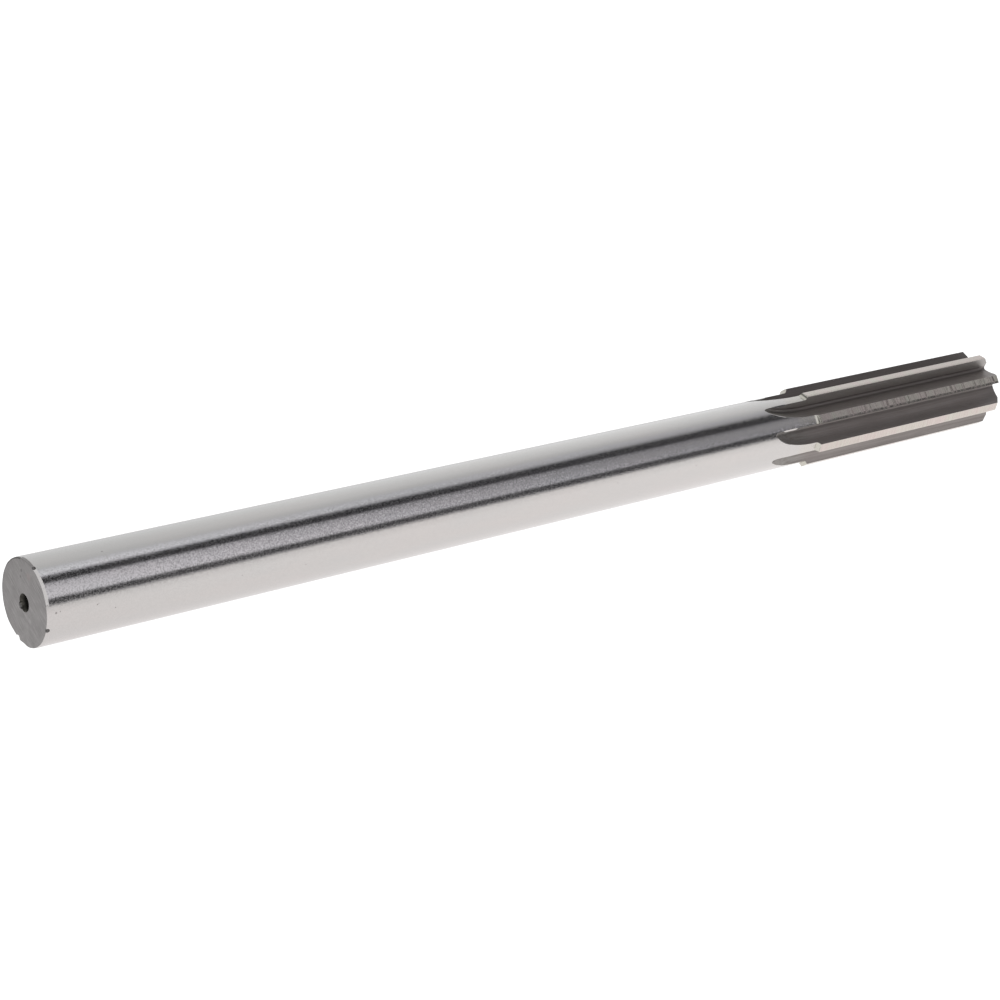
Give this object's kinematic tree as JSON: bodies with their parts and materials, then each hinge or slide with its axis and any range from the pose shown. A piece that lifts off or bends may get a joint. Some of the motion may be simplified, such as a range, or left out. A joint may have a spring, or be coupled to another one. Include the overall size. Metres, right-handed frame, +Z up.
{
  "type": "machine reamer",
  "caption": "Straight-shank machine reamer: round shank, low shoulder and straight flutes that run out into the shank, for finishing a drilled hole to size.",
  "frame": {"origin": "middle of the shank's end face, on the axis", "axes": "+X along the axis from the shank's end to the cutting end, +Z up with the tool lying on two of its teeth"},
  "size_m": [0.2286, 0.015, 0.015],
  "materials": {
    "tool_steel": "ground satin on the shank and lands, darker milled finish in the flutes"
  },
  "bodies": {
    "root": {"reamer": "tool_steel"}
  },
  "joints": []
}
